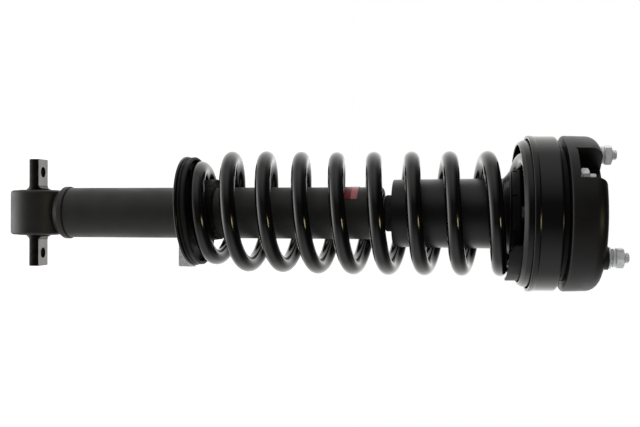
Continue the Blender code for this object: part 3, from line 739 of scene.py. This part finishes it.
def cover_collar():
    """The rubber collar above the cover, with eight notches round its foot."""
    base = COVER_TOP_Z + GAP
    top, floor = base + 0.009, base + 0.005
    outline = profile(
        (0.0424, top, 0.002),
        (0.0430, base, 0.0016),
        (0.0205, base),
        (0.0205, floor, 0.001),
        (0.036, floor, 0.001),
        (0.0365, top, 0.001),
    )
    collar = blank(spun(outline, 160), "cover_collar_moulded")
    notch_count, half_width = 8, 0.001
    notches = []
    for count in range(notch_count):
        turn = Matrix.Rotation(2 * math.pi * (count + 0.5) / notch_count, 4, "Z")
        notch = box_shape((0.0413, -half_width, base - 0.002), (0.05, half_width, floor))
        notches.append(cutter(notch, turn, 0.0003, 2))
    combine(collar, notches)
    dress(collar, "rubber", "rod", ["cover_collar"])


def bump_stop():
    """A foam stop with two grooves round it, on a mesh of its own."""
    low, tall, out, bore = TUBE_TOP_Z + 0.0021, 0.057, 0.01775, 0.0076
    groove_half, groove_depth = 0.0034, 0.004
    high = low + tall
    corners = [(out - 0.003, high, 0.0025), (out, high - 0.012, 0.004)]
    for share in (0.68, 0.38):
        centre = low + share * tall
        corners += [
            (out, centre + groove_half, 0.0015),
            (out - groove_depth, centre, 0.0012),
            (out, centre - groove_half, 0.0015),
        ]
    corners += [(out, low, 0.0015), (bore, low), (bore, high, 0.001)]
    stop = dress(blank(spun(profile(*corners), 96), "bump_stop_foam"), "bump_foam", "damper", ["bump_stop"])
    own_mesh(stop)


# Upper mount


def spring_cup():
    """The outer pan, with a rolled lip."""
    out, top, lip = 0.0733, CUP_TOP_H, -0.0300
    inner, under = out - 0.002, top - 0.0025
    outline = profile(
        (out, top, 0.003),
        (out, lip + 0.0057, 0.0008),
        (out + 0.0005, lip + 0.0046, 0.0010),
        (out + 0.0008, lip + 0.0016, 0.0008),
        (out + 0.0006, lip, 0.0006),
        (inner, lip, 0.0005),
        (inner, under, 0.001),
        (MOUNT_HOLE_R, under),
        (MOUNT_HOLE_R, top),
    )
    cup = blank(spun(outline, 192), "spring_cup_pressing", MOUNT)
    dress(cup, "cup_paint", "upper_mount", ["spring_cup"])


def spring_seat_ring():
    """The inner pan, whose mouth turns in."""
    out, top, mouth = 0.0696, RING_TOP_H, -0.0385
    inner, under = out - 0.002, top - 0.0022
    outline = profile(
        (out, top, 0.003),
        (out, mouth + 0.004, 0.004),
        (out - 0.003, mouth, 0.0006),
        (inner - 0.0028, mouth, 0.0006),
        (inner, mouth + 0.005, 0.004),
        (inner, under, 0.001),
        (MOUNT_HOLE_R, under),
        (MOUNT_HOLE_R, top),
    )
    ring = blank(spun(outline, 192), "spring_seat_ring_pressing", MOUNT)
    dress(ring, "cup_paint", "upper_mount", ["spring_seat_ring"])


def mount_rubber_ring():
    """The flat ring between housing and cup."""
    out, top, low, edge = 0.064, HOUSING_BOTTOM_H - GAP, CUP_TOP_H + GAP, 0.0006
    outline = profile((out, top, edge), (out, low, edge), (MOUNT_HOLE_R, low), (MOUNT_HOLE_R, top))
    ring = blank(spun(outline, 192), "mount_rubber_ring_moulded", MOUNT)
    dress(ring, "rubber", "upper_mount", ["mount_rubber_ring"])


def skirt():
    """A curved flap of the upper isolator that hangs outside the last coil, rounded at its corners."""
    steps, start, end = 48, math.radians(-62), math.radians(5)
    inner, out, root, tip = 0.0610, 0.0638, ISOLATOR_LOW_H + 0.003, -0.050
    corner_rise, corner_share = 0.004, 0.12
    rings = []
    for step in range(steps + 1):
        angle = start + (end - start) * step / steps
        to_end = min(step, steps - step) / steps
        low = tip + corner_rise * (1 - smooth_step(to_end, 0, corner_share))
        section = (
            (inner + 0.0001, low), (out - 0.0002, low), (out, low + 0.0006), (out, root), (inner, root)
        )
        rings.append([polar(r, angle, z) for r, z in section])
    return blank(loft(rings), "skirt")


def upper_isolator():
    """The ring that the coil's top turn bears on, with its skirt."""
    out, bore = 0.0673, 0.0435
    outline = profile(
        (out, ISOLATOR_TOP_H, 0.002),
        (out, ISOLATOR_LOW_H, 0.002),
        (bore, ISOLATOR_LOW_H, 0.003),
        (bore, ISOLATOR_TOP_H, 0.001),
    )
    isolator = blank(spun(outline, 160), "upper_isolator_moulded")
    combine(isolator, [skirt()], "UNION")
    isolator.data.transform(MOUNT)
    dress(isolator, "rubber", "upper_mount", ["upper_isolator"])


def mount_housing():
    """The cast housing: a pocket for one nut, bosses for two, and a hole for each stud."""
    out, bush_bore, access, lid = 0.0738, 0.0365, 0.0243, FACE_H - 0.006
    outline = profile(
        (out - 0.001, FACE_H, 0.012),
        (out, HOUSING_BOTTOM_H, 0.0018),
        (bush_bore, HOUSING_BOTTOM_H, 0.0008),
        (bush_bore, lid),
        (access, lid),
        (access, FACE_H, 0.0006),
    )
    body = blank(spun(outline, 192), "mount_housing_casting")
    half_width, back, beyond, above = 0.018, 0.041, 0.11, 0.03
    pocket = box_shape((back, -half_width, FACE_H - POCKET_DEPTH), (beyond, half_width, FACE_H + above))
    turn = Matrix.Rotation(math.radians(180 + 49.5), 4, "Z")
    combine(body, [cutter(pocket, turn, 0.003, 6)])
    boss_r, boss_root, hole_depth, clear = 0.0108, 0.013, 0.008, 0.004
    bosses, holes = [], []
    for x, y, floor in STUDS:
        at = Matrix.Translation((x, y, 0))
        if floor > FACE_H:
            bosses.append(cutter(rod_shape(boss_r, floor - boss_root, floor, 96), at))
        holes.append(cutter(rod_shape(STUD_R + GAP, floor - hole_depth, floor + clear), at))
    combine(body, bosses, "UNION")
    combine(body, holes)
    body.data.transform(MOUNT)
    dress(body, "housing_coat", "upper_mount", ["mount_housing"], 38)


def access_cap():
    """The plug over the rod's nut, dished inside a raised rim."""
    out, dish, low = 0.0240, FACE_H - 0.0008, FACE_H - 0.0025
    outline = profile(
        (0, dish),
        (0.0165, dish, 0.001),
        (0.0180, FACE_H, 0.0008),
        (out, FACE_H, 0.0005),
        (out, low),
        (0, low),
    )
    cap = blank(spun(outline, 96), "access_cap_moulded", MOUNT)
    dress(cap, "cover_plastic", "upper_mount", ["access_cap"])


# Studs


def stud_thread(name, at, low, high):
    """A stud with a real helical thread, chamfered at its tip."""
    pitch, depth, sides, rows_per_pitch = 0.0015, 0.00085, 48, 8
    crest_r, steepness, root_flat = STUD_R - 0.00008, 1.35, 0.12
    tip_r, tip_slope = STUD_R - 0.0012, 1.1
    rows = round((high - low) / pitch * rows_per_pitch)
    rings = []
    for row in range(rows + 1):
        z = low + (high - low) * row / rows
        ring = []
        for side in range(sides):
            phase = (z / pitch - side / sides) % 1
            tooth = min(max(steepness * (1 - abs(2 * phase - 1)) - root_flat, 0), 1)
            radius = min(crest_r - depth * (1 - tooth), tip_r + (high - z) * tip_slope)
            ring.append(polar(radius, 2 * math.pi * side / sides, z))
        rings.append(ring)
    stud = blank(loft(rings), name + "_thread", MOUNT @ Matrix.Translation(at))
    dress(stud, "zinc", "upper_mount", [name], 50)


def flat_washer(name, at):
    out, bore, top = 0.010, STUD_R + GAP, 0.0022
    outline = profile((out, top, 0.0004), (out, GAP, 0.0003), (bore, GAP), (bore, top, 0.0002))
    washer = blank(spun(outline, 72), name + "_stamped", MOUNT @ Matrix.Translation(at))
    dress(washer, "zinc", "upper_mount", [name])


def split_washer(name, at):
    """A sprung washer, cut through, with its two ends a little apart in height."""
    inner, outer, low, high = STUD_R + GAP, 0.0085, 0.0040, 0.0068
    steps, start, cut, rise = 72, 1.1, math.radians(7), 0.0005
    top = high - rise
    section = profile((inner, low, 0.0002), (outer, low, 0.0003), (outer, top, 0.0003), (inner, top, 0.0002))
    rings = []
    for step in range(steps + 1):
        angle = start + cut / 2 + (2 * math.pi - cut) * step / steps
        rings.append([polar(r, angle, z + rise * step / steps) for r, z in section])
    washer = blank(loft(rings), name + "_split", MOUNT @ Matrix.Translation(at))
    dress(washer, "zinc", "upper_mount", [name])


def nut(name, at, turn, low):
    """A hexagon nut whose corners are chamfered above and below."""
    flat, bore, high = 0.0085, STUD_R + GAP, low + 0.007
    bore_chamfer, edge = 0.0006, 0.0001
    face_r, shoulder_r, slope = flat * 0.95, flat * 0.985, math.tan(math.radians(32))

    def outline(angle):
        off = (angle + math.pi / 6) % (math.pi / 3) - math.pi / 6
        reach = flat / math.cos(off)
        drop = (reach - shoulder_r) * slope + edge
        upper = [
            (bore + bore_chamfer, high), (face_r, high), (shoulder_r, high - edge), (reach, high - drop)
        ]
        lower = [(r, low + high - z) for r, z in reversed(upper)]
        return upper + lower + [(bore, low + bore_chamfer), (bore, high - bore_chamfer)]

    place = MOUNT @ Matrix.Translation(at) @ Matrix.Rotation(turn, 4, "Z")
    dress(blank(lathe(outline, 96), name + "_chamfered", place), "zinc", "upper_mount", [name], 25)


def studs():
    """Three studs with their nuts; the one in the pocket is shorter and has no split washer."""
    low, tip, pocket_tip = -0.0075, 0.0189, 0.016
    nut_low, pocket_nut_low = 0.0071, 0.0025
    turns = (0.30, 0.12, 0.55)
    for count, (at, turn) in enumerate(zip(STUDS, turns), 1):
        in_pocket = at[2] < FACE_H
        stud_thread(f"mount_stud_{count}", at, low, pocket_tip if in_pocket else tip)
        flat_washer(f"flat_washer_{count}", at)
        if not in_pocket:
            split_washer(f"lock_washer_{count}", at)
        nut(f"stud_nut_{count}", at, turn, pocket_nut_low if in_pocket else nut_low)


def carried_over():
    """Finishes, and slightly rounded edges, for the CAD nodes that no piece replaces."""
    for entry in frame["record"]["subparts"]:
        cad = NODES[entry["node"]]
        if not cad.hide_render:
            cad.data.materials.clear()
            cad.data.materials.append(LOOKS[entry["material_slot"]])
            softened = cad.modifiers.new("edges", "BEVEL")
            softened.width = 0.0003
            softened.segments = 2
            softened.limit_method = "ANGLE"
            softened.harden_normals = True


bar_pin()
eye_ring()
eye_rubber()
base_cap()
reserve_tube()
label()
lower_seat()
seat_support()
seat_tab()
lower_isolator()
coil_spring()
dust_cover()
cover_collar()
bump_stop()
spring_cup()
spring_seat_ring()
mount_rubber_ring()
upper_isolator()
mount_housing()
access_cap()
studs()
carried_over()


# Studio

MIDDLE = (0, 0, -0.27)
FLOOR_Z = -0.66


def aimed(name, data, place, forward):
    """A lamp in the scene that shines along forward."""
    obj = bpy.data.objects.new(name, data)
    obj.location = place
    obj.rotation_euler = forward.to_track_quat("-Z", "Y").to_euler()
    bpy.context.scene.collection.objects.link(obj)
    return obj


def softbox(name, place, size, power):
    light = bpy.data.lights.new(name, "AREA")
    light.shape = "RECTANGLE"
    light.size, light.size_y = size
    light.energy = power
    obj = aimed(name, light, place, Vector(MIDDLE) - Vector(place))
    obj.visible_camera = False
    obj.visible_glossy = False


def warm_lamp():
    """A small warm sun, seen only as glints on the gloss."""
    lamp = bpy.data.lights.new("warm_lamp", "SUN")
    lamp.energy = 0.3
    lamp.angle = 0.24
    lamp.color = (1.0, 0.82, 0.5)
    towards = Vector((0.17, -0.53, 0.83))
    aimed("warm_lamp", lamp, (0, 0, 0), -towards).visible_diffuse = False


def surroundings():
    """White to the camera. The object itself is lit, and mirrors, soft gradients of grey."""
    world = bpy.data.worlds.new("studio")
    bpy.context.scene.world = world
    world.use_nodes = True
    tree = world.node_tree
    tree.nodes.clear()
    axes = node(tree, "SeparateXYZ")
    tree.links.new(node(tree, "TexCoord").outputs["Generated"], axes.inputs["Vector"])
    x, y, z = axes.outputs
    sideways = ranged(tree, maths(tree, "ABSOLUTE", x), 0.06, 0.6, 0.3, 0.95)
    behind = ranged(tree, y, 0, 1.3, 0.2, 0.95)
    below = ranged(tree, z, 2.3, 0, -0.97, -0.8)
    low_down = ranged(tree, z, 0.8, 0, -0.95, -0.4)
    amount = sideways
    for part in (behind, below, low_down):
        amount = maths(tree, "ADD", amount, part)
    dimmed = maths(tree, "MULTIPLY", amount, ranged(tree, z, 1, 0.12, 0.22, 0.7))
    light = node(tree, "Background", Color=(1, 0.995, 0.985, 1))
    tree.links.new(dimmed, light.inputs["Strength"])
    seen = node(tree, "Background", Color=(1, 1, 1, 1), Strength=1.0)
    mix = node(tree, "MixShader")
    tree.links.new(node(tree, "LightPath").outputs["Is Camera Ray"], mix.inputs["Fac"])
    tree.links.new(light.outputs[0], mix.inputs[1])
    tree.links.new(seen.outputs[0], mix.inputs[2])
    tree.links.new(mix.outputs[0], node(tree, "OutputWorld").inputs["Surface"])


def studio_floor():
    """A white sheet under the part, which neither lights it nor shows in it."""
    reach = 3.0
    mesh = bpy.data.meshes.new("studio_floor")
    corners = [(x * reach, y * reach, FLOOR_Z) for x, y in ((-1, -1), (1, -1), (1, 1), (-1, 1))]
    mesh.from_pydata(corners, [], [(0, 1, 2, 3)])
    floor = bpy.data.objects.new("studio_floor", mesh)
    bpy.context.scene.collection.objects.link(floor)
    paper = bpy.data.materials.new("floor_paper")
    paper.use_nodes = True
    shader = paper.node_tree.nodes["Principled BSDF"]
    shader.inputs["Base Color"].default_value = (0.9, 0.9, 0.9, 1)
    shader.inputs["Roughness"].default_value = 0.9
    shader.inputs["Emission Color"].default_value = (1, 1, 1, 1)
    shader.inputs["Emission Strength"].default_value = 0.9
    mesh.materials.append(paper)
    floor.visible_glossy = False
    floor.visible_diffuse = False


def camera():
    """The strut lies across the picture, with its mount to the right."""
    lens = bpy.data.cameras.new("camera")
    lens.sensor_width = 36
    lens.lens = 56.9
    stand, target = Vector((0.0004, -0.9854, -0.095)), Vector((0.0004, 0, -0.265))
    roughly_up = Vector((-1, 0, -0.0025))
    forward = (target - stand).normalized()
    right = forward.cross(roughly_up).normalized()
    up = right.cross(forward)
    obj = bpy.data.objects.new("camera", lens)
    obj.matrix_world = Matrix.Translation(stand) @ Matrix((right, up, -forward)).transposed().to_4x4()
    bpy.context.scene.collection.objects.link(obj)
    bpy.context.scene.camera = obj


softbox("softbox_above", (-1.3, -0.30, -0.3), (1.6, 0.9), 8)
softbox("softbox_below", (1.3, -0.25, -0.3), (1.6, 0.8), 5)
warm_lamp()
surroundings()
studio_floor()
camera()
bpy.context.scene.view_settings.view_transform = "Standard"
